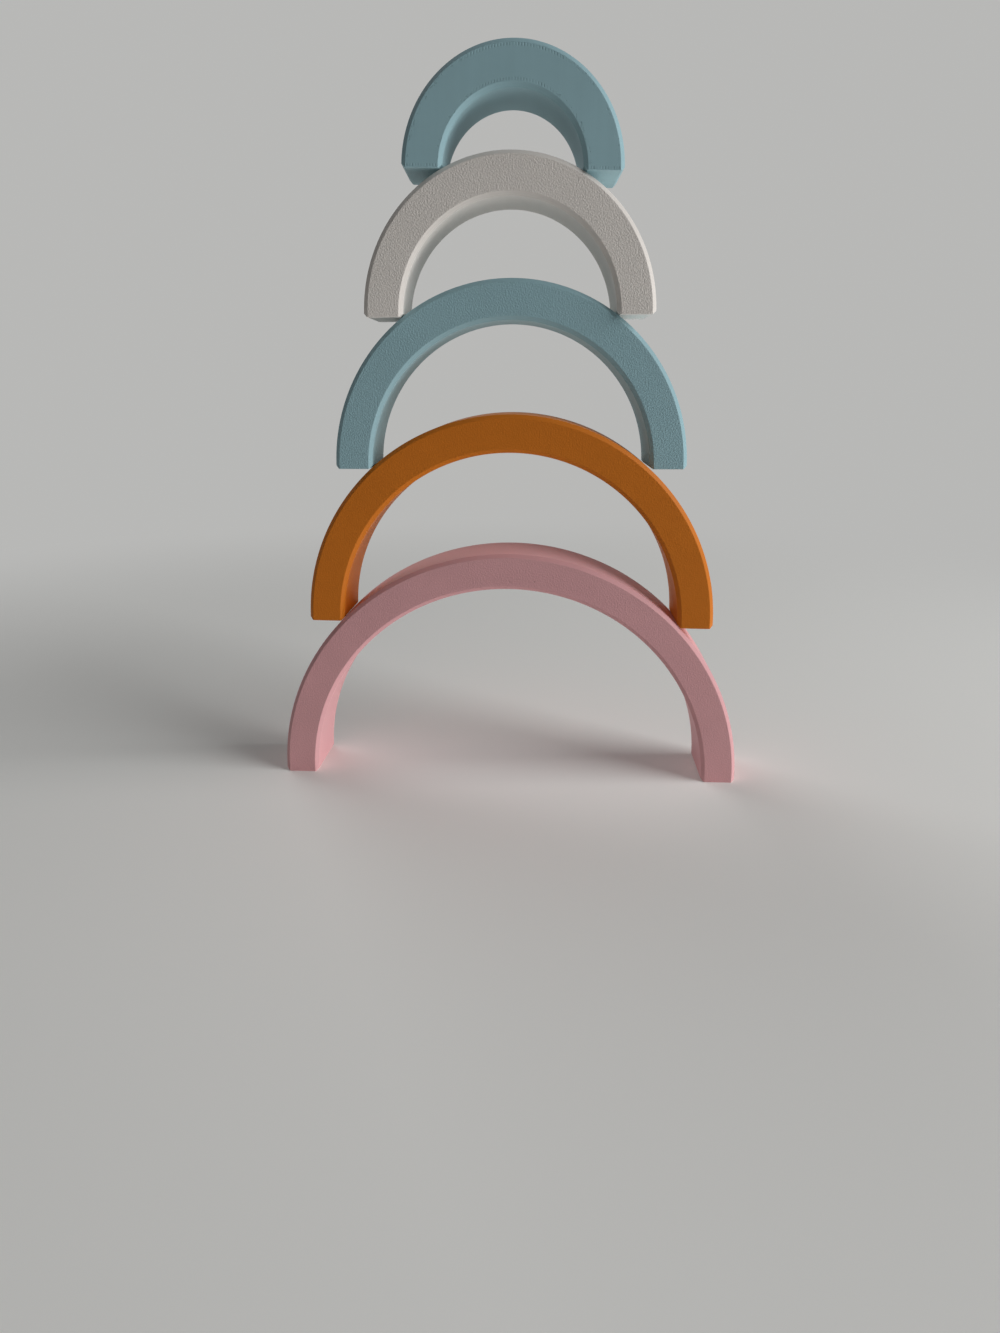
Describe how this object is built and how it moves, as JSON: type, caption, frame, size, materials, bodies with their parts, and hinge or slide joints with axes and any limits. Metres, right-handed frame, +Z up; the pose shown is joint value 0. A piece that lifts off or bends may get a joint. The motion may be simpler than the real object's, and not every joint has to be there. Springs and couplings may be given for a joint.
{
  "type": "rainbow stacker",
  "caption": "Stacking toy of bevelled half-ring arches in falling sizes, each straddling the crown of the larger one below, so that they stand as a tower and lift off one by one.",
  "frame": {"origin": "on the ground, under the middle of the largest arch, at the bottom centre of the tower", "axes": "+Z up, +X along the width of the largest arch to the viewer's right, -Y out of the front faces"},
  "size_m": [0.16, 0.0298, 0.2235],
  "materials": {
    "pink_print": "matte, pebbled on the plate side",
    "orange_print": "matte, pebbled on the plate side",
    "blue_print": "matte, pebbled or lined by the printing",
    "white_print": "matte, pebbled on the plate side"
  },
  "bodies": {
    "pink": {"pink_arch": "pink_print"},
    "orange": {"orange_arch": "orange_print"},
    "blue": {"blue_arch": "blue_print"},
    "white": {"white_arch": "white_print"},
    "small_blue": {"small_blue_arch": "blue_print"}
  },
  "joints": [
    {"name": "orange_lift", "type": "slide", "parent": "pink", "child": "orange", "axis": [0, 0, 1], "range_m": [0, 0.04]},
    {"name": "blue_lift", "type": "slide", "parent": "orange", "child": "blue", "axis": [0, 0, 1], "range_m": [0, 0.04]},
    {"name": "white_lift", "type": "slide", "parent": "blue", "child": "white", "axis": [0, 0, 1], "range_m": [0, 0.04]},
    {"name": "small_blue_lift", "type": "slide", "parent": "white", "child": "small_blue", "axis": [0, 0, 1], "range_m": [0, 0.04]}
  ]
}
